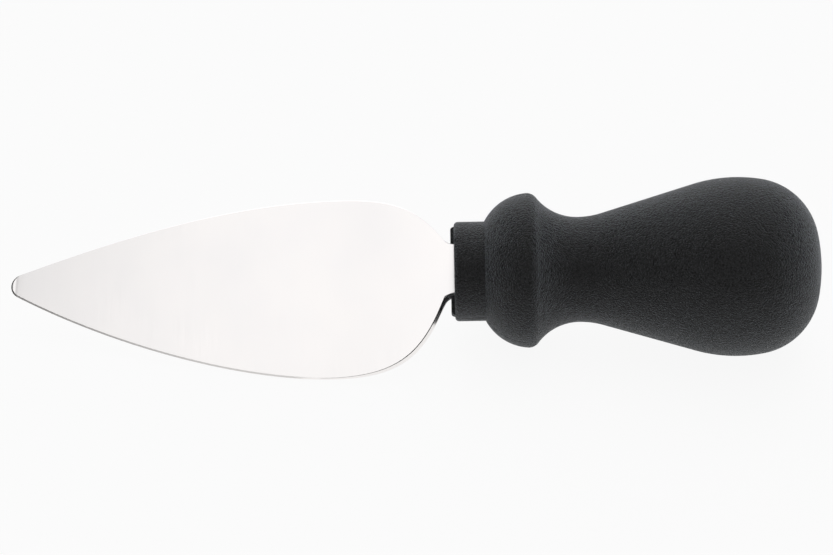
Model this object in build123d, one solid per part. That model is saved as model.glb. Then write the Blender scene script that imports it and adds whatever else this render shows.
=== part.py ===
# Parmesan knife: a short leaf-shaped blade of ground steel in a moulded handle with a bead and a bulb.
# It is modelled straight. The handle's axis is X with the butt at +X, and the collar's front face
# is at X = 0. The blade stands in the XY plane, with its cutting edge, the belly, towards -Y.
# The knife is then laid down as it comes to rest, on the bead, the bulb and the belly.
import os
from math import acos, asin, atan, atan2, cos, degrees, hypot, pi, radians, sin

from build123d import *

# Handle, places measured along the axis from the collar's front face
handle_length = 92.0
collar_radius = 12.4
collar_length = 8.3
collar_chamfer = 0.8
bead_back_at = 20.5
bead_radius = 19.3
bead_front_arc = 13.0
bead_rounding = 3.0
waist_at = 31.6
waist_radius = 13.1
bulb_at = 71.0
bulb_radius = 22.3
# Radii of the arcs that the handle's outline follows behind the waist
swell_arc = 20.8
bulb_arc = 37.3
shoulder_arc = 16.9
butt_arc = 41.8

# Blade outline, places measured ahead of the collar's front face
blade_length = 110.0
neck_length = 1.1
neck_height = 13.8
neck_rounding = 3.0
spine_at = 27.6
spine_height = 19.3
belly_at = 30.6
belly_depth = 28.05
tip_radius = 3.2
tip_drop = 1.95
spine_heel_angle = 56.0
belly_heel_angle = 70.5
spine_tip_angle = 20.4
belly_tip_angle = 29.3
# How far each end of the outline's four curves keeps its end's direction
spine_neck_pull = 12.9
spine_heel_pull = 12.0
spine_front_pull = 25.6
spine_tip_pull = 31.0
belly_neck_pull = 18.0
belly_heel_pull = 16.3
belly_front_pull = 21.9
belly_tip_pull = 27.6

# Blade thickness: full stock at the neck, thinner towards the tip, ground down to the belly
stock_thickness = 3.2
tip_thickness = 0.9
edge_thickness = 0.75
grind_run = 38.0
rib_margin = 4.0
ribs_per_curve = 4

# Cutting bevel round the tip and along the belly
bevel_from = 33.8
bevel_width = 0.45
bevel_land = 0.15

# Tang inside the handle
seat_depth = 7.0
tang_width = 11.0
tang_length = 70.0
tang_rounding = 2.5

# Spacing of the points that find the resting pose, and spare material on tools that cut
samples = 200
spare = 1.0


def polar(start, reach, angle):
    """Point at a reach from a start, at an angle in degrees from +X."""
    return (start[0] + reach * cos(radians(angle)), start[1] + reach * sin(radians(angle)))


def crossing(first, first_radius, second, second_radius):
    """Point where two circles cross, clockwise of the line from the first centre to the second."""
    across = second[0] - first[0]
    rise = second[1] - first[1]
    reach = hypot(across, rise)
    along = (reach**2 + first_radius**2 - second_radius**2) / (2 * reach)
    turn = acos(along / first_radius)
    return polar(first, first_radius, degrees(atan2(rise, across) - turn))


def swell_line():
    """Ends of the straight line that leaves the waist's arc and meets the bulb's arc, both smoothly."""
    waist_centre = (waist_at, waist_radius + swell_arc)
    bulb_centre = (bulb_at, bulb_radius - bulb_arc)
    across = bulb_centre[0] - waist_centre[0]
    rise = bulb_centre[1] - waist_centre[1]
    slope = degrees(atan2(rise, across) + asin((swell_arc + bulb_arc) / hypot(across, rise)))
    return polar(waist_centre, swell_arc, 270 + slope), polar(bulb_centre, bulb_arc, 90 + slope)


def handle_profile():
    """Half section of the handle above the X axis, with its corners broken last."""
    collar_front = (0, collar_radius)
    collar_back = (collar_length, collar_radius)
    bead_back = (bead_back_at, bead_radius)
    waist = (waist_at, waist_radius)
    swell_front, swell_back = swell_line()
    bulb = (bulb_at, bulb_radius)
    bulb_centre = (bulb_at, bulb_radius - bulb_arc)
    butt_centre = (handle_length - butt_arc, 0)
    shoulder = crossing(bulb_centre, bulb_arc, butt_centre, butt_arc)
    butt = (handle_length, 0)
    outline = [
        Line((0, 0), collar_front),
        Line(collar_front, collar_back),
        RadiusArc(collar_back, bead_back, bead_front_arc),
        TangentArc(waist, bead_back, tangent=(-1, 0)),
        TangentArc(waist, swell_front, tangent=(1, 0)),
        Line(swell_front, swell_back),
        TangentArc(bulb, swell_back, tangent=(-1, 0)),
        TangentArc(bulb, shoulder, tangent=(1, 0)),
        RadiusArc(shoulder, butt, butt_arc),
        Line(butt, (0, 0)),
    ]
    section = make_face(Curve() + outline)
    section = chamfer(corner_at(section, collar_front), collar_chamfer)
    section = fillet(corner_at(section, bead_back), bead_rounding)
    return fillet(corner_at(section, shoulder), shoulder_arc)


def corner_at(sketch, place):
    """Vertex of a sketch nearest to a place."""
    return sketch.vertices().sort_by_distance((place[0], place[1], 0))[0]


def blade_curves():
    """The outline's curves, from the neck along the spine to the tip and back along the belly."""
    half = neck_height / 2
    spine_neck = (-neck_length, half)
    spine_top = (-spine_at, spine_height)
    belly_neck = (-neck_length, -half)
    belly_low = (-belly_at, -belly_depth)
    tip_centre = (tip_radius - blade_length, -tip_drop)
    tip_end = (-blade_length, -tip_drop)
    spine_tip = polar(tip_centre, tip_radius, 90 + spine_tip_angle)
    belly_tip = polar(tip_centre, tip_radius, 270 - belly_tip_angle)
    spine_heel = Bezier(
        spine_neck,
        polar(spine_neck, spine_neck_pull, 180 - spine_heel_angle),
        (-spine_at + spine_heel_pull, spine_height),
        spine_top,
    )
    spine_front = Bezier(
        spine_top,
        (-spine_at - spine_front_pull, spine_height),
        polar(spine_tip, spine_tip_pull, spine_tip_angle),
        spine_tip,
    )
    tip = ThreePointArc(spine_tip, tip_end, belly_tip)
    belly_front = Bezier(
        belly_tip,
        polar(belly_tip, belly_tip_pull, -belly_tip_angle),
        (-belly_at - belly_front_pull, -belly_depth),
        belly_low,
    )
    belly_heel = Bezier(
        belly_low,
        (-belly_at + belly_heel_pull, -belly_depth),
        polar(belly_neck, belly_neck_pull, 180 + belly_heel_angle),
        belly_neck,
    )
    return spine_heel, spine_front, tip, belly_front, belly_heel


def blade_outline():
    """Flat outline of the blade with its neck and tang."""
    half = neck_height / 2
    tang_half = tang_width / 2
    back = Polyline(
        (-neck_length, -half),
        (seat_depth, -half),
        (seat_depth, -tang_half),
        (tang_length, -tang_half),
        (tang_length, tang_half),
        (seat_depth, tang_half),
        (seat_depth, half),
        (-neck_length, half),
    )
    outline = make_face(Curve() + [*blade_curves(), back])
    for side in (-half, half):
        outline = fillet(corner_at(outline, (-neck_length, side)), neck_rounding)
    for side in (-tang_half, tang_half):
        outline = fillet(corner_at(outline, (tang_length, side)), tang_rounding)
    return outline


def spine_half(x):
    """Half the thickness at the spine, which falls evenly from the neck to the tip."""
    share = (-x - neck_length) / (blade_length - neck_length)
    return (stock_thickness + (tip_thickness - stock_thickness) * share) / 2


def belly_half(x):
    """Half the thickness at the belly, where the grind runs out smoothly towards the neck."""
    share = min(max((-x - neck_length) / (grind_run - neck_length), 0), 1)
    unground = cos(pi / 2 * share) ** 2
    return edge_thickness / 2 + (spine_half(x) - edge_thickness / 2) * unground


def rib(spine_point, belly_point):
    """Upright section of the ground blade through a point of the spine and one of the belly."""
    across = (belly_point - spine_point).normalized()
    width = (belly_point - spine_point).length
    top = spine_half(spine_point.X)
    low = belly_half(belly_point.X)
    slope = (low - top) / width
    start = spine_point - across * rib_margin
    end = belly_point + across * rib_margin
    start_half = top - slope * rib_margin
    end_half = low + slope * rib_margin
    up = Vector(0, 0, 1)
    outline = Polyline(
        start + up * start_half,
        end + up * end_half,
        end - up * end_half,
        start - up * start_half,
        close=True,
    )
    return make_face(outline)


def ground_body():
    """Body between the two ground faces, wider all round than the blade."""
    spine_heel, spine_front, _, belly_front, belly_heel = blade_curves()
    steps = [step / ribs_per_curve for step in range(ribs_per_curve + 1)]
    ribs = [rib(spine_heel @ u, belly_heel @ (1 - u)) for u in steps]
    ribs += [rib(spine_front @ u, belly_front @ (1 - u)) for u in steps[1:]]
    beyond = Vector(-2 * tip_radius, 0, 0)
    ribs.append(rib(spine_front @ 1 + beyond, belly_front @ 0 + beyond))
    return loft(ribs)


def bevel_cutter():
    """Bar that follows the belly and the tip and cuts the bevel on the +Z face."""
    _, _, tip, belly_front, _ = blade_curves()
    start = tip @ 0
    outward = (start - tip.arc_center).normalized()
    upright = Plane(origin=start, x_dir=outward, z_dir=-(tip % 0))
    half_land = bevel_land / 2
    rise = edge_thickness / 2 - half_land
    above_bevel = Polyline(
        (bevel_width, half_land - rise),
        (-2 * bevel_width, half_land + 2 * rise),
        (-2 * bevel_width, stock_thickness),
        (bevel_width, stock_thickness),
        close=True,
    )
    bar = sweep(upright * make_face(above_bevel), path=Wire([tip, belly_front]))
    reach = blade_length + spare
    zone = Pos(-(reach + bevel_from) / 2, 0, 0) * Box(reach - bevel_from, 2 * reach, 4 * stock_thickness)
    return bar & zone


def make_blade():
    """Blade, neck and tang in one piece."""
    blank = extrude(blade_outline(), amount=stock_thickness, both=True)
    back_length = neck_length + tang_length + spare
    back_centre = back_length / 2 - neck_length
    back = Pos(back_centre, 0, 0) * Box(back_length, 2 * neck_height, stock_thickness)
    blade = (blank & ground_body()) + (blank & back)
    cutter = bevel_cutter()
    return blade - cutter - mirror(cutter, about=Plane.XY)


def make_handle(blade):
    """Handle, moulded round the neck and the tang without clearance."""
    return revolve(handle_profile(), axis=Axis.X) - blade


def resting_pose():
    """Pitch and roll, in degrees, that bring the bead, the bulb and the belly onto one plane."""
    profile = handle_profile().edges()
    steps = [step / samples for step in range(samples + 1)]
    points = [edge @ u for edge in profile for u in steps]
    bead_points = [point for point in points if collar_length < point.X < waist_at]
    bulb_points = [point for point in points if point.X > waist_at]
    pitch = atan(min(max((b.Y - a.Y) / (b.X - a.X) for b in bulb_points) for a in bead_points))
    floor = min(point.X * sin(pitch) - point.Y * cos(pitch) for point in points)
    _, _, _, belly_front, belly_heel = blade_curves()
    rolls = []
    for point in [edge @ u for edge in (belly_front, belly_heel) for u in steps]:
        depth = -point.Y
        half = belly_half(point.X) if point.X > -bevel_from else bevel_land / 2
        height = (point.X * sin(pitch) - floor) / cos(pitch)
        if 0 < height < hypot(depth, half):
            rolls.append(asin(height / hypot(depth, half)) - atan2(half, depth))
    return degrees(pitch), degrees(min(rolls))


def place_at_rest(pieces):
    """Lay the pieces down together and centre their box above the origin."""
    pitch, roll = resting_pose()
    laid = [Rot(Y=-pitch) * Rot(X=roll) * piece for piece in pieces]
    box = Compound(laid).bounding_box()
    centre = box.center()
    return [Pos(-centre.X, -centre.Y, -box.min.Z) * piece for piece in laid]


blade = make_blade()
handle = make_handle(blade)
blade, handle = place_at_rest([blade, handle])

os.makedirs("parts", exist_ok=True)
export_step(blade, "parts/blade.step")
export_step(handle, "parts/handle.step")
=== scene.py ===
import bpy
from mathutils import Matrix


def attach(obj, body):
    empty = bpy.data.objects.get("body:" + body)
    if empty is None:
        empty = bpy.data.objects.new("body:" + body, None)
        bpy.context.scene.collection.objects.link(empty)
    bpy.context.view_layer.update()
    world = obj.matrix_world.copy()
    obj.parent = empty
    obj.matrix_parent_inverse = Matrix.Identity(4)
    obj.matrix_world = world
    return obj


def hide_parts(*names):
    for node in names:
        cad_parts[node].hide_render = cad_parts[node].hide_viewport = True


bl_info = {
    "name": "Parmesan Knife",
    "version": (1, 0, 0),
    "blender": (4, 5, 0),
    "location": "3D View > Sidebar > Parmesan Knife",
    "description": "Models and finishes a parmesan knife: a ground steel blade in a moulded black handle",
    "category": "Add Mesh",
}

# The knife is modelled straight, with the handle's axis along X, the face of the solid's collar at X = 0,
# the butt at +X and the cutting edge towards -Y. It is then laid down at rest, as the packed model lies.
import math

import bmesh
import bpy
from bpy.props import FloatProperty, FloatVectorProperty, IntProperty, PointerProperty
from mathutils import Euler, Matrix, Vector

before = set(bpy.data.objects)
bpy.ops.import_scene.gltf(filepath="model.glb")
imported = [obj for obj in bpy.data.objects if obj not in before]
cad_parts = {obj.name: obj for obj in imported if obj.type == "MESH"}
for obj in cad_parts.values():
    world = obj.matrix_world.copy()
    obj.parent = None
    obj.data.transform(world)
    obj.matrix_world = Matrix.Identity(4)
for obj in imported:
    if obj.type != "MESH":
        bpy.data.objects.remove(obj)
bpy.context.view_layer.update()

# Steps along each stretch of the handle's outline
RIM_STEPS = 8
COLLAR_STEPS = 6
BEAD_STEPS = 22
CREST_STEPS = 12
GROOVE_STEPS = 20
WAIST_STEPS = 10
SWELL_STEPS = 8
BULB_STEPS = 26
SHOULDER_STEPS = 26
BUTT_STEPS = 12

# Sections along each stretch of the blade
NECK_STEPS = 6
HEEL_STEPS = 20
FRONT_STEPS = 48
TIP_STEPS = 12
# share of the way round the tip at which the last section stands
TIP_REACH = 0.985
# sections, counted from the start of the tip, over which the bevel comes round to the spine
TIP_TURN = (-1, 4)
# a section at the tip keeps at least this share of its height between the bevels
LEAST_FACE = 0.05
# a bevel is never lengthened along its section by more than the inverse of this
LEAST_SLANT = 0.25
# slope of the flatter corner of the heel's wall
HEEL_SLOPE = 0.65

# Working in edit mode, in metres and radians
MERGE_DISTANCE = 1e-6
RING_STEP = Vector((-0.001, 0, 0))
HANDLE_SMOOTH = math.radians(24)
LIP_SMOOTH = math.radians(30)
BLADE_SMOOTH = math.radians(12)

# Patterns of the finishes: cycles per metre, shares, and ranges of a pattern that are spread out
NOISE_RANGE = (0.3, 0.7)
SUM_RANGE = (0.7, 1.3)
WAVE_RANGE = (0.45, 0.55)
PEBBLE_RANGE = (0.35, 0.62)
CLOUDS_PER_METRE = 45
LINES_PER_METRE = 900
LINE_STRETCH = (4, 0.12, 1)
LINE_ROUGHNESS = 0.6
LINE_DEPTH = 0.000004
LINE_STRENGTH = 0.5
WAVES_PER_PEBBLE = 1.6
# share by which the grain's hollows are painted darker as painted shade and its tops lighter as a painted
# highlight
GRAIN_PAINTED_SHADE = 0.9
ROUGHNESS_SPREAD = 0.12
# depth below the handle's axis from which the mould line has its full strength
MOULD_LINE_DEPTH = 0.004
# share of its length over which the mould line keeps its full strength
MOULD_LINE_FULL = 0.6

# Ranges of the surroundings: along the direction of the far light, squared across, and in height
FAR_DIRECTION = Vector((0.0, 0.75, 0.66)).normalized()
NEAR_TO_FAR = (-0.35, 0.45)
BACK_RANGE = (0.55, 0.9)
SIDE_RANGE = (0.03, 0.30)
HORIZON_RANGE = (0.05, 0.4)

# Layout of the nodes in the editor
NODE_WIDTH = 220
NODE_HEIGHT = 320
NODES_ACROSS = 6


def length(name, default, description):
    """A length in metres."""
    return FloatProperty(name=name, description=description, default=default, unit="LENGTH", precision=5)


def turn(name, degrees, description):
    """An angle, given in degrees."""
    return FloatProperty(name=name, description=description, default=math.radians(degrees), subtype="ANGLE")


def colour(name, default, description):
    """A colour without alpha."""
    return FloatVectorProperty(
        name=name, description=description, default=default, size=3, min=0.0, max=1.0, subtype="COLOR"
    )


def share(name, default, description):
    """A share from 0 to 1."""
    return FloatProperty(
        name=name, description=description, default=default, min=0.0, max=1.0, subtype="FACTOR"
    )


class KnifeRest(bpy.types.PropertyGroup):
    """How the straight knife is turned and moved to lie at rest"""

    pitch: turn("Pitch", 3.3819474, "Slope of the handle's axis, from the bead up to the bulb")
    roll: turn("Roll", 34.4959924, "Roll about the handle's axis that brings the belly down")
    collar_x: length("Collar X", 0.00891807, "Place of the straight knife's zero along X")
    collar_y: length("Collar Y", 0.00054731, "Place of the handle's axis across the knife")
    collar_z: length("Collar Z", 0.01813770, "Height of the straight knife's zero")


class KnifeHandle(bpy.types.PropertyGroup):
    """Sizes of the moulded handle, places measured from the straight knife's zero"""

    overall: length("Length", 0.092, "Length of the handle")
    collar_radius: length("Collar radius", 0.0124, "Radius of the collar")
    collar_length: length("Collar length", 0.0083, "Length of the collar")
    collar_face: length("Collar face", 0.0007, "How far back the moulded collar's face lies")
    collar_rounding: length("Collar rounding", 0.0010, "Rounding of the collar's front edge")
    lip_length: length("Lip length", 0.0009, "How far the thin lip beside the neck stands out of the collar")
    lip_reach: length("Lip reach", 0.0118, "Reach of the lip to each side of the axis")
    lip_thickness: length("Lip thickness", 0.0018, "Thickness of the lip")
    lip_seat: length("Lip seat", 0.0026, "Place of the lip's back end, inside the collar")
    lip_rounding: length("Lip rounding", 0.0008, "Rounding of the lip's outer corners")
    bead_back_at: length("Bead back", 0.0205, "Place of the bead's back edge")
    bead_radius: length("Bead radius", 0.0193, "Radius of the bead that stops the fingers")
    bead_front_arc: length("Bead front arc", 0.0130, "Radius of the arc up the bead's front")
    bead_rounding: length("Bead rounding", 0.0030, "Rounding of the bead's back edge")
    waist_at: length("Waist place", 0.0316, "Place of the waist")
    waist_radius: length("Waist radius", 0.0131, "Radius of the waist")
    bulb_at: length("Bulb place", 0.0710, "Place where the bulb is widest")
    bulb_radius: length("Bulb radius", 0.0223, "Largest radius of the bulb")
    swell_arc: length("Swell arc", 0.0208, "Radius of the arc that leaves the waist")
    bulb_arc: length("Bulb arc", 0.0373, "Radius of the arc over the bulb")
    shoulder_arc: length("Shoulder arc", 0.0169, "Radius of the arc round the bulb's back shoulder")
    butt_arc: length("Butt arc", 0.0418, "Radius of the domed butt")
    around: IntProperty(name="Segments", description="Facets round the handle", default=192, min=24)


class KnifeBlade(bpy.types.PropertyGroup):
    """Sizes of the blade, places measured ahead of the straight knife's zero"""

    overall: length("Length", 0.110, "Length of the blade from the collar")
    neck_length: length("Neck length", 0.0011, "Distance from the collar to where the heels begin")
    neck_height: length("Neck height", 0.0138, "Height of the neck")
    neck_rounding: length("Neck rounding", 0.0030, "Rounding between the neck and the heels")
    spine_at: length("Spine place", 0.0276, "Place of the highest point of the spine")
    spine_height: length("Spine height", 0.0193, "Height of the spine above the axis")
    belly_at: length("Belly place", 0.0306, "Place of the lowest point of the belly")
    belly_depth: length("Belly depth", 0.02805, "Depth of the belly below the axis")
    tip_radius: length("Tip radius", 0.0032, "Radius of the rounded tip")
    tip_drop: length("Tip drop", 0.00195, "Depth of the tip below the axis")
    spine_heel_angle: turn("Spine heel angle", 56.0, "Slope of the spine's heel at the neck")
    belly_heel_angle: turn("Belly heel angle", 70.5, "Slope of the belly's heel at the neck")
    spine_tip_angle: turn("Spine tip angle", 20.4, "Slope of the spine at the tip")
    belly_tip_angle: turn("Belly tip angle", 29.3, "Slope of the belly at the tip")
    spine_neck_pull: length("Spine neck pull", 0.0129, "How far the spine keeps its direction at the neck")
    spine_heel_pull: length("Spine heel pull", 0.0120, "How far the spine stays level towards the heel")
    spine_front_pull: length("Spine front pull", 0.0256, "How far the spine stays level towards the tip")
    spine_tip_pull: length("Spine tip pull", 0.0310, "How far the spine keeps its direction at the tip")
    belly_neck_pull: length("Belly neck pull", 0.0180, "How far the belly keeps its direction at the neck")
    belly_heel_pull: length("Belly heel pull", 0.0163, "How far the belly stays level towards the heel")
    belly_front_pull: length("Belly front pull", 0.0219, "How far the belly stays level towards the tip")
    belly_tip_pull: length("Belly tip pull", 0.0276, "How far the belly keeps its direction at the tip")
    stock: length("Stock", 0.0032, "Thickness of the steel at the neck")
    tip_thickness: length("Tip thickness", 0.0009, "Thickness of the spine at the tip")
    edge_thickness: length("Edge thickness", 0.00075, "Thickness behind the cutting bevel")
    grind_run: length("Grind run-out", 0.0380, "Where the grind begins to run out towards the neck")
    bevel_from: length("Bevel start", 0.0338, "Middle of the stretch over which the cutting bevel starts")
    bevel_width: length("Bevel width", 0.00036, "Width of the cutting bevel")
    bevel_land: length("Bevel land", 0.00020, "Thickness left at the edge")
    bevel_run_out: length("Bevel run-out", 0.0045, "Half the stretch over which the cutting bevel starts")
    corner: length("Corner", 0.00014, "Rounding of the spine's corners")
    heel_round: length("Heel rounding", 0.00072, "Width of the slanting wall round the heel, on each face")
    heel_corner: share("Heel corner", 0.30, "Share of the heel's rounding that its flatter corner takes")
    heel_wall: share("Heel wall", 0.30, "Share of the heel's thickness that stays upright")
    seat_depth: length("Seat depth", 0.0070, "How far the neck goes into the handle")
    tang_width: length("Tang width", 0.0110, "Width of the tang inside the handle")
    tang_length: length("Tang length", 0.0700, "Length of the tang inside the handle")


class KnifeFinish(bpy.types.PropertyGroup):
    """Colours and finishes"""

    steel: colour("Steel", (0.912, 0.883, 0.866), "Colour of the ground and polished steel")
    steel_cool: colour("Cool steel", (0.898, 0.874, 0.864), "Cooler colour that the steel drifts to")
    steel_roughness: share("Steel roughness", 0.17, "Roughness of the polished steel")
    plastic: colour("Plastic", (0.0178, 0.0180, 0.0184), "Colour of the black moulded plastic")
    plastic_roughness: share("Plastic roughness", 0.48, "Roughness of the grained plastic")
    plastic_gloss: share("Plastic gloss", 0.30, "Level of the plastic's own reflection")
    haze: share("Haze", 0.60, "Strength of the pale haze on the grain where the plastic turns away")
    haze_roughness: share("Haze roughness", 0.27, "How far in from the outline the haze reaches")
    haze_tint: colour("Haze tint", (0.86, 0.93, 1.0), "Colour of the haze")
    grain_pitch: length("Grain pitch", 0.00050, "Size of one pebble of the plastic's grain")
    grain_depth: length("Grain depth", 0.00030, "Depth of the plastic's grain")
    mould_line: length("Mould line", 0.0007, "Width of the line that the mould's halves leave")
    mould_line_end: length("Mould line end", 0.0190, "Where the mould line has faded out")
    floor: colour("Floor", (0.93, 0.93, 0.93), "Colour of the pale floor")
    floor_glow: share("Floor glow", 0.92, "Share of plain white in what the camera sees of the floor")


class KnifeStage(bpy.types.PropertyGroup):
    """Camera and light"""

    azimuth: turn("Azimuth", -1.22, "Turn of the camera round the knife")
    elevation: turn("Elevation", 33.5, "Height of the camera above the horizon")
    roll: turn("Roll", 2.43, "Roll of the camera about its own axis")
    distance: length("Distance", 0.900, "Distance of the camera from the point it frames")
    focal: FloatProperty(name="Focal length", description="Focal length in millimetres", default=155.7)
    right: length("Aim right", 0.00026, "How far right of the middle the camera aims")
    up: length("Aim up", 0.00121, "How far up the picture the camera aims")
    aim_height: length("Aim height", 0.015, "Height above the floor from which the aim is measured")
    sensor: FloatProperty(name="Sensor width", description="Sensor width in millimetres", default=36)
    floor_size: length("Floor size", 12.0, "Width and depth of the floor")
    sky: colour("Surroundings", (0.985, 0.99, 1.0), "Colour of the soft surroundings")
    near_light: share("Near light", 0.37, "Level of the surroundings on the camera's side")
    far_light: share("Far light", 0.90, "Level of the surroundings overhead and behind")
    back_light: share("Back light", 0.90, "What the surroundings gain from overhead to the back")
    low_light: share("Low light", 0.80, "Level of the surroundings at the horizon, as a share")
    side_light: share("Side light", 0.02, "Level of the surroundings to the left and right, as a share")
    panel_light: FloatProperty(name="Panel light", description="Radiance of the overhead panel", default=0.17)
    panel_size: length("Panel size", 1.1, "Width and depth of the overhead panel")
    panel_right: length("Panel right", 0.355, "How far right of the knife the panel hangs")
    panel_near: length("Panel near", 0.24, "How far on the camera's side of the knife the panel hangs")
    panel_height: length("Panel height", 1.1, "Height of the overhead panel")


SETTINGS = {
    "knife_rest": KnifeRest,
    "knife_handle": KnifeHandle,
    "knife_blade": KnifeBlade,
    "knife_finish": KnifeFinish,
    "knife_stage": KnifeStage,
}


# Drawing the outlines


def polar(start, reach, angle):
    """Point at a reach from a start, at an angle from +X."""
    return Vector((start[0] + reach * math.cos(angle), start[1] + reach * math.sin(angle)))


def curve_point(points, u):
    """Point at u, from 0 to 1, of the curve with four control points."""
    a, b, c, d = (Vector(point) for point in points)
    v = 1 - u
    return a * v**3 + b * (3 * v * v * u) + c * (3 * v * u * u) + d * u**3


def arc_points(centre, radius, start, end, count):
    """Points along an arc, without its first one."""
    return [polar(centre, radius, start + (end - start) * step / count) for step in range(1, count + 1)]


def line_points(start, end, count):
    """Points along a line, without its first one."""
    start, end = Vector(start), Vector(end)
    return [start.lerp(end, step / count) for step in range(1, count + 1)]


def rounded_corner(before, corner, after, radius, count):
    """Points of the arc that rounds a corner between two straight lines."""
    corner = Vector(corner)
    back = (Vector(before) - corner).normalized()
    ahead = (Vector(after) - corner).normalized()
    half = back.angle(ahead) / 2
    centre = corner + (back + ahead).normalized() * (radius / math.sin(half))
    first = corner + back * (radius / math.tan(half))
    last = corner + ahead * (radius / math.tan(half))
    start = math.atan2(first.y - centre.y, first.x - centre.x)
    sweep = (first - centre).angle_signed(last - centre)
    return [polar(centre, radius, start - sweep * step / count) for step in range(count + 1)]


def crossing(first, first_radius, second, second_radius):
    """Point where two circles cross, clockwise of the line from the first centre to the second."""
    across = second[0] - first[0]
    rise = second[1] - first[1]
    reach = math.hypot(across, rise)
    along = (reach**2 + first_radius**2 - second_radius**2) / (2 * reach)
    return polar(first, first_radius, math.atan2(rise, across) - math.acos(along / first_radius))


def handle_outline(s):
    """Places and radii along the handle, from the middle of its front face to the butt."""
    front_centre = (s.collar_face + s.collar_rounding, s.collar_radius - s.collar_rounding)
    points = [Vector((s.collar_face, s.collar_radius - s.collar_rounding))]
    points += arc_points(front_centre, s.collar_rounding, math.pi, math.pi / 2, RIM_STEPS)
    collar_back = Vector((s.collar_length, s.collar_radius))
    points += line_points(points[-1], collar_back, COLLAR_STEPS)
    # the bead's front arc, through the collar's back and the bead's back
    bead_back = Vector((s.bead_back_at, s.bead_radius))
    chord = bead_back - collar_back
    rise = math.sqrt(s.bead_front_arc**2 - (chord.length / 2) ** 2)
    bead_centre = (collar_back + bead_back) / 2 + Vector((chord.y, -chord.x)).normalized() * rise
    # the groove's arc is level at the waist and passes through the bead's back
    drop = s.bead_radius - s.waist_radius
    away = s.waist_at - s.bead_back_at
    groove_arc = (away**2 + drop**2) / (2 * drop)
    groove_centre = Vector((s.waist_at, s.waist_radius + groove_arc))
    # the crest rounds the bead's back: it lies inside the front arc and outside the groove's
    crest_centre = crossing(
        groove_centre, groove_arc + s.bead_rounding, bead_centre, s.bead_front_arc - s.bead_rounding
    )
    start = math.atan2(collar_back.y - bead_centre.y, collar_back.x - bead_centre.x)
    crest_start = math.atan2(crest_centre.y - bead_centre.y, crest_centre.x - bead_centre.x)
    points += arc_points(bead_centre, s.bead_front_arc, start, crest_start, BEAD_STEPS)
    crest_end = math.atan2(groove_centre.y - crest_centre.y, groove_centre.x - crest_centre.x)
    points += arc_points(crest_centre, s.bead_rounding, crest_start, crest_end, CREST_STEPS)
    groove_start = math.atan2(crest_centre.y - groove_centre.y, crest_centre.x - groove_centre.x)
    groove_start += 2 * math.pi
    points += arc_points(groove_centre, groove_arc, groove_start, 1.5 * math.pi, GROOVE_STEPS)
    # the swell, straight between the waist's arc and the bulb's
    waist_centre = Vector((s.waist_at, s.waist_radius + s.swell_arc))
    bulb_centre = Vector((s.bulb_at, s.bulb_radius - s.bulb_arc))
    apart = bulb_centre - waist_centre
    slope = math.atan2(apart.y, apart.x) + math.asin((s.swell_arc + s.bulb_arc) / apart.length)
    points += arc_points(waist_centre, s.swell_arc, 1.5 * math.pi, 1.5 * math.pi + slope, WAIST_STEPS)
    bulb_start = math.pi / 2 + slope
    points += line_points(points[-1], polar(bulb_centre, s.bulb_arc, bulb_start), SWELL_STEPS)
    # the back shoulder lies inside both the bulb's arc and the butt's
    butt_centre = Vector((s.overall - s.butt_arc, 0))
    shoulder_centre = crossing(
        bulb_centre, s.bulb_arc - s.shoulder_arc, butt_centre, s.butt_arc - s.shoulder_arc
    )
    out = shoulder_centre - bulb_centre
    shoulder_start = math.atan2(out.y, out.x)
    out = shoulder_centre - butt_centre
    shoulder_end = math.atan2(out.y, out.x)
    points += arc_points(bulb_centre, s.bulb_arc, bulb_start, shoulder_start, BULB_STEPS)
    points += arc_points(shoulder_centre, s.shoulder_arc, shoulder_start, shoulder_end, SHOULDER_STEPS)
    points += arc_points(butt_centre, s.butt_arc, shoulder_end, 0, BUTT_STEPS)
    return points


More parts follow.
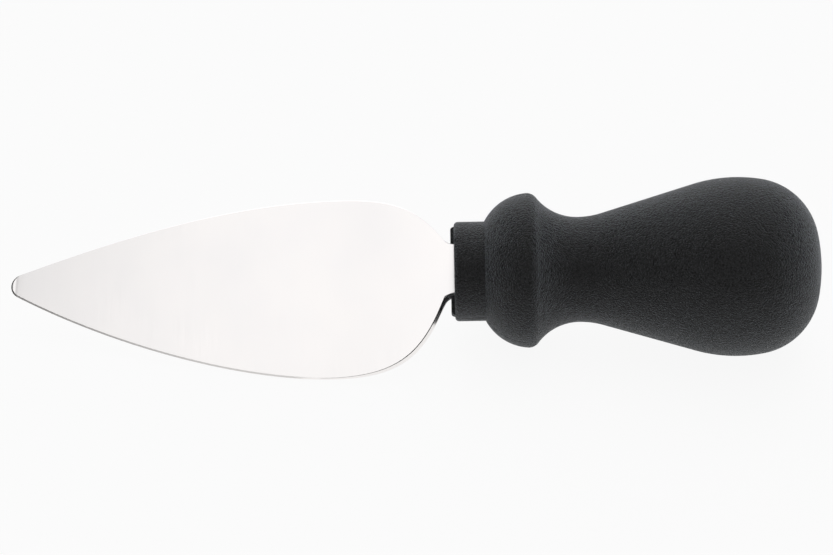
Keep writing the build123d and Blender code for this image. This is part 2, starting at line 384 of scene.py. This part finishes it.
def blade_outline(s):
    """Pairs of points, one of the spine and one of the belly, from the tang's end to the tip."""
    half = s.neck_height / 2
    tang_half = s.tang_width / 2
    inside = ((s.tang_length, tang_half), (s.seat_depth, tang_half), (s.seat_depth, half))
    pairs = [(Vector((x, y)), Vector((x, -y))) for x, y in inside]
    spine_neck = Vector((-s.neck_length, half))
    belly_neck = Vector((-s.neck_length, -half))
    spine_top = Vector((-s.spine_at, s.spine_height))
    belly_low = Vector((-s.belly_at, -s.belly_depth))
    tip_centre = Vector((s.tip_radius - s.overall, -s.tip_drop))
    spine_tip_turn = math.pi / 2 + s.spine_tip_angle
    belly_tip_turn = 1.5 * math.pi - s.belly_tip_angle
    spine_tip = polar(tip_centre, s.tip_radius, spine_tip_turn)
    belly_tip = polar(tip_centre, s.tip_radius, belly_tip_turn)
    spine_heel = (
        spine_neck,
        polar(spine_neck, s.spine_neck_pull, math.pi - s.spine_heel_angle),
        spine_top + Vector((s.spine_heel_pull, 0)),
        spine_top,
    )
    belly_heel = (
        belly_neck,
        polar(belly_neck, s.belly_neck_pull, math.pi + s.belly_heel_angle),
        belly_low + Vector((s.belly_heel_pull, 0)),
        belly_low,
    )
    spine_front = (
        spine_top,
        spine_top - Vector((s.spine_front_pull, 0)),
        polar(spine_tip, s.spine_tip_pull, s.spine_tip_angle),
        spine_tip,
    )
    belly_front = (
        belly_low,
        belly_low - Vector((s.belly_front_pull, 0)),
        polar(belly_tip, s.belly_tip_pull, -s.belly_tip_angle),
        belly_tip,
    )
    # the neck's corners, rounded towards each heel's first direction
    spine_corner = rounded_corner((1, half), spine_neck, spine_heel[1], s.neck_rounding, NECK_STEPS)
    belly_corner = rounded_corner((1, -half), belly_neck, belly_heel[1], s.neck_rounding, NECK_STEPS)
    pairs += list(zip(spine_corner, belly_corner))
    spine_u = (spine_corner[-1] - spine_neck).length / (3 * s.spine_neck_pull)
    belly_u = (belly_corner[-1] - belly_neck).length / (3 * s.belly_neck_pull)
    for step in range(1, HEEL_STEPS + 1):
        t = step / HEEL_STEPS
        above = curve_point(spine_heel, spine_u + (1 - spine_u) * t)
        below = curve_point(belly_heel, belly_u + (1 - belly_u) * t)
        pairs.append((above, below))
    for step in range(1, FRONT_STEPS + 1):
        t = step / FRONT_STEPS
        pairs.append((curve_point(spine_front, t), curve_point(belly_front, t)))
    for step in range(1, TIP_STEPS + 1):
        t = TIP_REACH * step / TIP_STEPS
        above = spine_tip_turn + (math.pi - spine_tip_turn) * t
        below = belly_tip_turn + (math.pi - belly_tip_turn) * t
        pairs.append((polar(tip_centre, s.tip_radius, above), polar(tip_centre, s.tip_radius, below)))
    return pairs


def spine_half(s, x):
    """Half the thickness at the spine, which falls evenly from the neck to the tip."""
    part = max((-x - s.neck_length) / (s.overall - s.neck_length), 0)
    return (s.stock + (s.tip_thickness - s.stock) * part) / 2


def belly_half(s, x):
    """Half the thickness at the belly, where the grind runs out smoothly towards the neck."""
    part = min(max((-x - s.neck_length) / (s.grind_run - s.neck_length), 0), 1)
    unground = math.cos(math.pi / 2 * part) ** 2
    return s.edge_thickness / 2 + (spine_half(s, x) - s.edge_thickness / 2) * unground


def smooth_share(value, start, end):
    """Share from 0 to 1 of the way from start to end, with soft ends."""
    t = min(max((value - start) / (end - start), 0), 1)
    return t * t * (3 - 2 * t)


def bevel_half(s, face_half, inset):
    """Half the thickness at a distance inside a bevelled edge."""
    land = s.bevel_land / 2
    return land + (face_half - land) * min(inset / s.bevel_width, 1)


def rib_slant(before, after, across):
    """How much longer an inset square to the edge is when it's measured along the rib."""
    along = (after - before).normalized()
    return 1 / max(abs(along.x * across.y - along.y * across.x), LEAST_SLANT)


def tip_rib(s, spine, belly, width, across, tip_share):
    """Section inside the rounded tip, where the bevel keeps its width all round."""
    top = spine_half(s, spine.x)
    low = belly_half(s, belly.x)
    land = s.bevel_land / 2
    tip_centre = Vector((s.tip_radius - s.overall, -s.tip_drop))
    middle = (spine + belly) / 2
    inner = (s.tip_radius - s.bevel_width) ** 2 - (middle - tip_centre).length_squared
    inset = width / 2 - math.sqrt(max(inner, (LEAST_FACE * width) ** 2))
    # the ground face stays plane: it falls towards the belly as it does where the tip begins
    above = s.tip_radius * math.cos(s.spine_tip_angle)
    below = s.tip_radius * math.cos(s.belly_tip_angle)
    fall = (top - low) / (above + below)

    def face_half(point):
        face = (top + low) / 2 + fall * (point.y - tip_centre.y - (above - below) / 2)
        return bevel_half(s, face, s.tip_radius - (point - tip_centre).length)

    spine_point = spine + across * (s.corner + (inset - s.corner) * tip_share)
    belly_point = belly - across * inset
    spine_face = top + (face_half(spine_point) - top) * tip_share
    belly_face = face_half(belly_point)
    wall = top - s.corner + (land - top + s.corner) * tip_share
    corner_face = belly_face + (land - belly_face) * s.heel_corner
    corner_point = belly_point.lerp(belly, s.heel_corner)
    return [
        (spine, wall),
        (spine_point, spine_face),
        (belly_point, belly_face),
        (corner_point, corner_face),
        (belly, land),
    ]


def blade_rib(s, spine, belly, slant, tip_share):
    """Upright section on the +Z side: spine's wall and corner, then the edge's shoulder, corner and land."""
    width = (belly - spine).length
    across = (belly - spine) / width
    if tip_share > 0:
        return tip_rib(s, spine, belly, width, across, tip_share)
    top = spine_half(s, spine.x)
    low = belly_half(s, belly.x)
    land = s.bevel_land / 2
    bevelled = smooth_share(-belly.x, s.bevel_from - s.bevel_run_out, s.bevel_from + s.bevel_run_out)
    # towards the neck the edge isn't ground: it is rounded over, in step with its thickness
    rounding = s.heel_round * low / (s.stock / 2)
    inset = (rounding + (s.bevel_width - rounding) * bevelled) * slant
    shoulder = low + (top - low) * inset / width
    heel_corner = shoulder - HEEL_SLOPE * s.heel_corner * rounding
    bevel_corner = shoulder + (land - shoulder) * s.heel_corner
    corner_half = heel_corner + (bevel_corner - heel_corner) * bevelled
    heel_edge = low * s.heel_wall
    return [
        (spine, top - s.corner),
        (spine + across * s.corner, top + (low - top) * s.corner / width),
        (belly - across * inset, shoulder),
        (belly - across * inset * (1 - s.heel_corner), corner_half),
        (belly, heel_edge + (land - heel_edge) * bevelled),
    ]


# Working in edit mode


def clear_selection():
    """Leave edit mode and select nothing, so that the next operator acts on its own piece only."""
    if bpy.context.mode != "OBJECT":
        bpy.ops.object.mode_set(mode="OBJECT")
    bpy.ops.object.select_all(action="DESELECT")


def edit_mesh():
    """The mesh in edit mode, with its vertices numbered."""
    mesh = bmesh.from_edit_mesh(bpy.context.edit_object.data)
    mesh.verts.ensure_lookup_table()
    mesh.verts.index_update()
    return mesh


def select_vertices(indices):
    """Select the listed vertices of the mesh in edit mode, and nothing else."""
    mesh = edit_mesh()
    for vertex in mesh.verts:
        vertex.select = False
    for index in indices:
        mesh.verts[index].select = True
    mesh.select_mode = {"VERT"}
    mesh.select_flush_mode()


def move_vertex(index, place):
    """Move one vertex of the mesh in edit mode to a place."""
    start = edit_mesh().verts[index].co.copy()
    select_vertices([index])
    bpy.ops.transform.translate(value=Vector(place) - start)


def select_edges(wanted):
    """Select the edges whose two ends pass a test, and nothing else."""
    mesh = edit_mesh()
    mesh.select_mode = {"EDGE"}
    for edge in mesh.edges:
        edge.select = wanted(edge.verts[0].co, edge.verts[1].co)
    mesh.select_flush_mode()


def shape_rib(ring, rib):
    """Move a ring's vertices onto a rib: down its +Z side from the spine, and back up its -Z side."""
    places = [(point.x, point.y, half) for point, half in rib]
    places += [(point.x, point.y, -half) for point, half in reversed(rib)]
    for index, place in zip(ring, places):
        move_vertex(index, place)


def next_ring(ring, step):
    """Extrude a ring's face by a step and return the new ring in the same order."""
    mesh = edit_mesh()
    expected = [mesh.verts[index].co + step for index in ring]
    select_vertices(ring)
    bpy.ops.mesh.extrude_region_move(TRANSFORM_OT_translate={"value": step})
    fresh = [vertex for vertex in edit_mesh().verts if vertex.select]
    return [min(fresh, key=lambda vertex: (vertex.co - place).length).index for place in expected]


def close_and_turn_out():
    """Merge doubles and point every face outwards."""
    bpy.ops.mesh.select_all(action="SELECT")
    bpy.ops.mesh.remove_doubles(threshold=MERGE_DISTANCE)
    bpy.ops.mesh.normals_make_consistent(inside=False)


def lay_at_rest(piece, s):
    """Turn and move the finished piece to where it lies, with the place in its mesh."""
    clear_selection()
    piece.select_set(True)
    bpy.context.view_layer.objects.active = piece
    piece.rotation_euler = Euler((s.roll, -s.pitch, 0))
    piece.location = (s.collar_x, s.collar_y, s.collar_z)
    bpy.ops.object.transform_apply(location=True, rotation=True, scale=True)


# Materials


def node(tree, kind, **values):
    """Add a node in the next free place of the tree and set its values."""
    made = tree.nodes.new(kind)
    row, column = divmod(len(tree.nodes) - 1, NODES_ACROSS)
    made.location = (column * NODE_WIDTH, -row * NODE_HEIGHT)
    for name, value in values.items():
        setattr(made, name, value)
    return made


def mapping_to_straight(tree, s):
    """Object coordinates turned back to the straight knife, in metres."""
    place = node(tree, "ShaderNodeTexCoord")
    straight = node(tree, "ShaderNodeMapping", vector_type="TEXTURE")
    straight.inputs["Location"].default_value = (s.collar_x, s.collar_y, s.collar_z)
    straight.inputs["Rotation"].default_value = (s.roll, -s.pitch, 0)
    tree.links.new(place.outputs["Object"], straight.inputs["Vector"])
    return straight.outputs["Vector"]


def noise(tree, vector, scale, detail, stretch=(1, 1, 1), roughness=0.5):
    """Noise over a stretched vector. Its scale is in cycles per metre."""
    stretched = node(tree, "ShaderNodeMapping")
    stretched.inputs["Scale"].default_value = stretch
    made = node(tree, "ShaderNodeTexNoise")
    made.inputs["Scale"].default_value = scale
    made.inputs["Detail"].default_value = detail
    made.inputs["Roughness"].default_value = roughness
    tree.links.new(vector, stretched.inputs["Vector"])
    tree.links.new(stretched.outputs["Vector"], made.inputs["Vector"])
    return made.outputs["Fac"]


def remap(tree, value, low, high, source=NOISE_RANGE):
    """A value spread from a source range to a new one, and held inside it."""
    made = node(tree, "ShaderNodeMapRange", clamp=True)
    made.inputs["From Min"].default_value = source[0]
    made.inputs["From Max"].default_value = source[1]
    made.inputs["To Min"].default_value = low
    made.inputs["To Max"].default_value = high
    tree.links.new(value, made.inputs["Value"])
    return made.outputs["Result"]


def combine(tree, operation, first, second):
    """Two values, or a value and a number, combined."""
    made = node(tree, "ShaderNodeMath", operation=operation)
    tree.links.new(first, made.inputs[0])
    if isinstance(second, (int, float)):
        made.inputs[1].default_value = second
    else:
        tree.links.new(second, made.inputs[1])
    return made.outputs[0]


def bump(tree, height, distance, strength, before=None):
    """Bump from a height, laid over an earlier one where there is one."""
    made = node(tree, "ShaderNodeBump")
    made.inputs["Distance"].default_value = distance
    made.inputs["Strength"].default_value = strength
    tree.links.new(height, made.inputs["Height"])
    if before is not None:
        tree.links.new(before, made.inputs["Normal"])
    return made.outputs["Normal"]


def new_material(name):
    """Empty node material with its surface shader linked."""
    material = bpy.data.materials.new(name)
    material.use_nodes = True
    tree = material.node_tree
    tree.nodes.clear()
    output = node(tree, "ShaderNodeOutputMaterial")
    shader = node(tree, "ShaderNodeBsdfPrincipled")
    tree.links.new(shader.outputs["BSDF"], output.inputs["Surface"])
    return material, tree, shader


def blended(tree, low, high, value):
    """Colour that runs from low to high with a value."""
    ramp = node(tree, "ShaderNodeValToRGB")
    ramp.color_ramp.elements[0].color = (*low, 1)
    ramp.color_ramp.elements[1].color = (*high, 1)
    tree.links.new(value, ramp.inputs["Fac"])
    return ramp.outputs["Color"]


def scaled(tone, level):
    """A colour made lighter or darker."""
    return [min(channel * level, 1) for channel in tone]


def vary_roughness(tree, shader, roughness, first, second):
    """Let the roughness drift round its level with the sum of two patterns."""
    spread = combine(tree, "ADD", first, second)
    low = roughness * (1 - ROUGHNESS_SPREAD)
    high = roughness * (1 + ROUGHNESS_SPREAD)
    tree.links.new(remap(tree, spread, low, high, SUM_RANGE), shader.inputs["Roughness"])


def polished_steel(finish, rest):
    """Ground and polished steel with fine lines across the blade."""
    material, tree, shader = new_material("polished_steel")
    straight = mapping_to_straight(tree, rest)
    lines = noise(tree, straight, LINES_PER_METRE, 3, stretch=LINE_STRETCH, roughness=LINE_ROUGHNESS)
    cloud = noise(tree, straight, CLOUDS_PER_METRE, 2)
    drift = remap(tree, cloud, 0, 1)
    shader.inputs["Metallic"].default_value = 1.0
    tree.links.new(blended(tree, finish.steel, finish.steel_cool, drift), shader.inputs["Base Color"])
    vary_roughness(tree, shader, finish.steel_roughness, lines, cloud)
    tree.links.new(bump(tree, lines, LINE_DEPTH, LINE_STRENGTH), shader.inputs["Normal"])
    return material


def pebbled(tree, vector, scale):
    """Half at the middle of each pebble of a grain, falling to 0 between them."""
    cells = node(tree, "ShaderNodeTexVoronoi", feature="F1")
    cells.inputs["Scale"].default_value = scale
    tree.links.new(vector, cells.inputs["Vector"])
    return remap(tree, cells.outputs["Distance"], 0.5, 0, PEBBLE_RANGE)


def mould_line(tree, straight, finish):
    """1 along the line where the mould's halves meet below the collar and the bead, 0 elsewhere."""
    place = node(tree, "ShaderNodeSeparateXYZ")
    tree.links.new(straight, place.inputs["Vector"])
    # squares are compared, so that both sides of the mould's plane count alike
    off_plane = combine(tree, "MULTIPLY", place.outputs["Z"], place.outputs["Z"])
    half = finish.mould_line / 2
    near = remap(tree, off_plane, 1, 0, ((half / 2) ** 2, half**2))
    below = remap(tree, place.outputs["Y"], 1, 0, (-MOULD_LINE_DEPTH, 0))
    full = MOULD_LINE_FULL * finish.mould_line_end
    fading = remap(tree, place.outputs["X"], 1, 0, (full, finish.mould_line_end))
    return combine(tree, "MULTIPLY", combine(tree, "MULTIPLY", near, below), fading)


def black_plastic(finish, rest):
    """Moulded black plastic with a leathery grain, painted shade in its hollows and a painted highlight on
    its tops, a pale haze and a faint mould line painted darker.
    """
    material, tree, shader = new_material("black_plastic")
    straight = mapping_to_straight(tree, rest)
    waves = noise(tree, straight, WAVES_PER_PEBBLE / finish.grain_pitch, 1)
    pebbles = pebbled(tree, straight, 1 / finish.grain_pitch)
    grain = combine(tree, "ADD", remap(tree, waves, 0, 0.5, WAVE_RANGE), pebbles)
    line = mould_line(tree, straight, finish)
    # painted shade and highlight: the grain's hollows and the mould line are painted darker for the shade
    # that falls in them, and the grain's tops are painted lighter as a painted highlight
    height = combine(tree, "SUBTRACT", grain, line)
    shaded_hollow = scaled(finish.plastic, 1 - GRAIN_PAINTED_SHADE)
    top = scaled(finish.plastic, 1 + GRAIN_PAINTED_SHADE)
    tree.links.new(blended(tree, shaded_hollow, top, height), shader.inputs["Base Color"])
    vary_roughness(tree, shader, finish.plastic_roughness, grain, noise(tree, straight, CLOUDS_PER_METRE, 2))
    raised = bump(tree, grain, finish.grain_depth, 1.0)
    sunk = combine(tree, "MULTIPLY", line, -1)
    tree.links.new(bump(tree, sunk, 2 * finish.mould_line, 1.0, before=raised), shader.inputs["Normal"])
    shader.inputs["Specular IOR Level"].default_value = finish.plastic_gloss
    shader.inputs["Sheen Weight"].default_value = finish.haze
    shader.inputs["Sheen Roughness"].default_value = finish.haze_roughness
    shader.inputs["Sheen Tint"].default_value = (*finish.haze_tint, 1)
    return material


# Operators


class OBJECT_OT_knife_handle(bpy.types.Operator):
    """Model the handle: rings drawn out along its axis, from the collar's face to the domed butt"""

    bl_idname = "object.knife_handle"
    bl_label = "Model Handle"
    bl_options = {"REGISTER", "UNDO"}

    def execute(self, context):
        s = context.scene.knife_handle
        outline = handle_outline(s)
        clear_selection()
        bpy.ops.mesh.primitive_circle_add(
            vertices=s.around,
            radius=outline[0].y,
            fill_type="NGON",
            location=(outline[0].x, 0, 0),
            rotation=(0, -math.pi / 2, 0),
        )
        handle = context.object
        handle.name = "moulded_handle"
        bpy.ops.object.transform_apply(location=True, rotation=True, scale=True)
        bpy.ops.object.mode_set(mode="EDIT")
        bpy.ops.mesh.select_all(action="SELECT")
        for before, after in zip(outline, outline[1:-1]):
            bpy.ops.mesh.extrude_region_move(
                TRANSFORM_OT_translate={"value": (after.x - before.x, 0, 0)}
            )
            spread = after.y / before.y
            bpy.ops.transform.resize(value=(1, spread, spread), center_override=(after.x, 0, 0))
        # the last ring closes at the butt's middle
        bpy.ops.mesh.extrude_region_move(
            TRANSFORM_OT_translate={"value": (outline[-1].x - outline[-2].x, 0, 0)}
        )
        bpy.ops.mesh.merge(type="CENTER")
        close_and_turn_out()
        bpy.ops.object.mode_set(mode="OBJECT")
        bpy.ops.object.shade_smooth_by_angle(angle=HANDLE_SMOOTH)
        lay_at_rest(handle, context.scene.knife_rest)
        handle.data.materials.clear()
        handle.data.materials.append(black_plastic(context.scene.knife_finish, context.scene.knife_rest))
        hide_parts("handle")
        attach(handle, "root")
        return {"FINISHED"}


class OBJECT_OT_knife_lip(bpy.types.Operator):
    """Model the thin lip in the blade's plane, where the mould's halves close on the neck"""

    bl_idname = "object.knife_lip"
    bl_label = "Model Lip"
    bl_options = {"REGISTER", "UNDO"}

    def execute(self, context):
        s = context.scene.knife_handle
        clear_selection()
        front = s.collar_face - s.lip_length
        middle = (s.lip_seat + front) / 2
        bpy.ops.mesh.primitive_cube_add(size=1, location=(middle, 0, 0))
        lip = context.object
        lip.name = "collar_lip"
        lip.scale = (s.lip_seat - front, 2 * s.lip_reach, s.lip_thickness)
        bpy.ops.object.transform_apply(location=True, rotation=True, scale=True)
        bpy.ops.object.mode_set(mode="EDIT")
        bpy.ops.mesh.select_mode(type="EDGE")
        # the two upright corners of the lip's front, and then the rims of its front and sides
        select_edges(lambda a, b: a.x < middle and b.x < middle and abs(a.z - b.z) > s.lip_thickness / 2)
        bpy.ops.mesh.bevel(offset=s.lip_rounding, segments=5, affect="EDGES")
        outer = s.collar_face + s.lip_length / 2
        select_edges(lambda a, b: a.x < outer and b.x < outer and abs(a.z - b.z) < MERGE_DISTANCE)
        bpy.ops.mesh.bevel(offset=s.lip_rounding / 4, segments=3, affect="EDGES")
        close_and_turn_out()
        bpy.ops.object.mode_set(mode="OBJECT")
        bpy.ops.object.shade_smooth_by_angle(angle=LIP_SMOOTH)
        lay_at_rest(lip, context.scene.knife_rest)
        lip.data.materials.clear()
        lip.data.materials.append(bpy.data.materials["black_plastic"])
        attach(lip, "root")
        return {"FINISHED"}


class OBJECT_OT_knife_blade(bpy.types.Operator):
    """Model the blade: upright sections drawn out from the tang to the tip, thinner towards the belly"""

    bl_idname = "object.knife_blade"
    bl_label = "Model Blade"
    bl_options = {"REGISTER", "UNDO"}

    def execute(self, context):
        s = context.scene.knife_blade
        pairs = blade_outline(s)
        tip_start = len(pairs) - TIP_STEPS
        ribs = []
        for number, (spine, belly) in enumerate(pairs):
            tip_share = smooth_share(number - tip_start, *TIP_TURN)
            before = pairs[max(number - 1, 0)][1]
            after = pairs[min(number + 1, len(pairs) - 1)][1]
            slant = rib_slant(before, after, (belly - spine).normalized())
            ribs.append(blade_rib(s, spine, belly, slant, tip_share))
        clear_selection()
        bpy.ops.mesh.primitive_circle_add(
            vertices=2 * len(ribs[0]),
            radius=s.tang_width / 2,
            fill_type="NGON",
            rotation=(0, -math.pi / 2, 0),
        )
        blade = context.object
        blade.name = "ground_blade"
        bpy.ops.object.transform_apply(location=True, rotation=True, scale=True)
        bpy.ops.object.mode_set(mode="EDIT")
        bpy.ops.mesh.select_mode(type="VERT")
        # the ring's order: from the spine down the +Z side, and back up the -Z side
        corners = [vertex.co for vertex in edit_mesh().verts]
        ring = sorted(range(len(corners)), key=lambda index: math.atan2(*corners[index].zy))
        shape_rib(ring, ribs[0])
        for rib in ribs[1:]:
            ring = next_ring(ring, RING_STEP)
            shape_rib(ring, rib)
        close_and_turn_out()
        bpy.ops.object.mode_set(mode="OBJECT")
        bpy.ops.object.shade_smooth_by_angle(angle=BLADE_SMOOTH)
        lay_at_rest(blade, context.scene.knife_rest)
        blade.data.materials.clear()
        blade.data.materials.append(polished_steel(context.scene.knife_finish, context.scene.knife_rest))
        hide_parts("blade")
        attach(blade, "root")
        return {"FINISHED"}


def pale_floor(finish):
    """Pale matt floor that shows white and keeps a soft shadow."""
    material = bpy.data.materials.new("pale_floor")
    material.use_nodes = True
    tree = material.node_tree
    tree.nodes.clear()
    output = node(tree, "ShaderNodeOutputMaterial")
    matt = node(tree, "ShaderNodeBsdfDiffuse")
    matt.inputs["Color"].default_value = (*finish.floor, 1)
    white = node(tree, "ShaderNodeEmission")
    white.inputs["Color"].default_value = (1, 1, 1, 1)
    white.inputs["Strength"].default_value = 1.0
    rays = node(tree, "ShaderNodeLightPath")
    seen = combine(tree, "MAXIMUM", rays.outputs["Is Camera Ray"], rays.outputs["Is Glossy Ray"])
    seen = combine(tree, "MAXIMUM", seen, rays.outputs["Is Transmission Ray"])
    mixed = node(tree, "ShaderNodeMixShader")
    tree.links.new(combine(tree, "MULTIPLY", seen, finish.floor_glow), mixed.inputs["Fac"])
    tree.links.new(matt.outputs["BSDF"], mixed.inputs[1])
    tree.links.new(white.outputs["Emission"], mixed.inputs[2])
    tree.links.new(mixed.outputs["Shader"], output.inputs["Surface"])
    return material


def soft_surroundings(stage):
    """World light that is brightest behind and overhead, and dimmer on the camera's side."""
    world = bpy.data.worlds.new("studio")
    bpy.context.scene.world = world
    world.use_nodes = True
    tree = world.node_tree
    tree.nodes.clear()
    output = node(tree, "ShaderNodeOutputWorld")
    background = node(tree, "ShaderNodeBackground")
    place = node(tree, "ShaderNodeTexCoord")
    facing = node(tree, "ShaderNodeVectorMath", operation="DOT_PRODUCT")
    facing.inputs[1].default_value = FAR_DIRECTION
    tree.links.new(place.outputs["Generated"], facing.inputs[0])
    towards = facing.outputs["Value"]
    level = remap(tree, towards, stage.near_light, stage.far_light, NEAR_TO_FAR)
    level = combine(tree, "ADD", level, remap(tree, towards, 0, stage.back_light, BACK_RANGE))
    # it is dimmer at both ends of the room and towards the horizon, so that round forms keep their shape
    split = node(tree, "ShaderNodeSeparateXYZ")
    tree.links.new(place.outputs["Generated"], split.inputs["Vector"])
    sideways = combine(tree, "MULTIPLY", split.outputs["X"], split.outputs["X"])
    level = combine(tree, "MULTIPLY", level, remap(tree, sideways, 1, stage.side_light, SIDE_RANGE))
    horizon = remap(tree, split.outputs["Z"], stage.low_light, 1, HORIZON_RANGE)
    background.inputs["Color"].default_value = (*stage.sky, 1)
    tree.links.new(combine(tree, "MULTIPLY", level, horizon), background.inputs["Strength"])
    tree.links.new(background.outputs["Background"], output.inputs["Surface"])


def add_panel_light(name, place, aim, size, radiance):
    """Square soft light of a given radiance at a place, turned to its aim."""
    # an area light of P watts shows a radiance of P / (4 x area)
    clear_selection()
    bpy.ops.object.light_add(type="AREA", location=place)
    light = bpy.context.object
    light.name = name
    light.data.shape = "SQUARE"
    light.data.size = size
    light.data.energy = radiance * 4 * size * size
    light.rotation_euler = (Vector(aim) - Vector(place)).to_track_quat("-Z", "Y").to_euler()


class SCENE_OT_knife_stage(bpy.types.Operator):
    """Set out the pale floor, the soft lights and the camera at the photograph's angle"""

    bl_idname = "scene.knife_stage"
    bl_label = "Set Out Stage"
    bl_options = {"REGISTER", "UNDO"}

    def execute(self, context):
        s = context.scene.knife_stage
        clear_selection()
        bpy.ops.mesh.primitive_plane_add(size=s.floor_size, location=(0, 0, 0))
        floor = context.object
        floor.name = "floor"
        bpy.ops.object.mode_set(mode="EDIT")
        bpy.ops.mesh.select_all(action="SELECT")
        bpy.ops.mesh.subdivide(number_cuts=3)
        bpy.ops.object.mode_set(mode="OBJECT")
        floor.data.materials.append(pale_floor(context.scene.knife_finish))
        soft_surroundings(s)
        panel_place = (s.panel_right, -s.panel_near, s.panel_height)
        add_panel_light("overhead_light", panel_place, (0, 0, 0), s.panel_size, s.panel_light)
        # the camera aims at a point above the knife's middle and rolls about its own axis
        back = Vector(
            (
                math.sin(s.azimuth) * math.cos(s.elevation),
                -math.cos(s.azimuth) * math.cos(s.elevation),
                math.sin(s.elevation),
            )
        )
        level = (-back).cross(Vector((0, 0, 1))).normalized()
        upright = level.cross(-back)
        right = math.cos(s.roll) * level + math.sin(s.roll) * upright
        up = -math.sin(s.roll) * level + math.cos(s.roll) * upright
        aim = Vector((0, 0, s.aim_height)) + right * s.right + up * s.up
        clear_selection()
        bpy.ops.object.camera_add(location=aim + back * s.distance)
        camera = context.object
        camera.name = "camera"
        camera.data.sensor_fit = "HORIZONTAL"
        camera.data.sensor_width = s.sensor
        camera.data.lens = s.focal
        camera.data.clip_start = 0.01
        camera.data.clip_end = 50
        camera.rotation_euler = Matrix((right, up, back)).transposed().to_euler()
        context.scene.camera = camera
        context.scene.view_settings.view_transform = "Standard"
        return {"FINISHED"}


class VIEW3D_PT_parmesan_knife(bpy.types.Panel):
    """Sizes, finishes and steps of the parmesan knife"""

    bl_label = "Parmesan Knife"
    bl_idname = "VIEW3D_PT_parmesan_knife"
    bl_space_type = "VIEW_3D"
    bl_region_type = "UI"
    bl_category = "Parmesan Knife"

    def draw(self, context):
        column = self.layout.column()
        for operator in OPERATORS:
            column.operator(operator.bl_idname)
        for name, group in SETTINGS.items():
            box = self.layout.box()
            box.label(text=group.__doc__)
            for setting in group.__annotations__:
                box.prop(getattr(context.scene, name), setting)


OPERATORS = (OBJECT_OT_knife_handle, OBJECT_OT_knife_lip, OBJECT_OT_knife_blade, SCENE_OT_knife_stage)
CLASSES = (*SETTINGS.values(), *OPERATORS, VIEW3D_PT_parmesan_knife)


def register():
    """Register the classes and give the scene its settings."""
    for cls in CLASSES:
        bpy.utils.register_class(cls)
    for name, group in SETTINGS.items():
        setattr(bpy.types.Scene, name, PointerProperty(type=group))


def unregister():
    """Undo what register does."""
    for name in SETTINGS:
        delattr(bpy.types.Scene, name)
    for cls in reversed(CLASSES):
        bpy.utils.unregister_class(cls)


def main():
    """Model the knife and set out its stage."""
    register()
    bpy.ops.object.knife_handle()
    bpy.ops.object.knife_lip()
    bpy.ops.object.knife_blade()
    bpy.ops.scene.knife_stage()


if __name__ == "__main__":
    main()
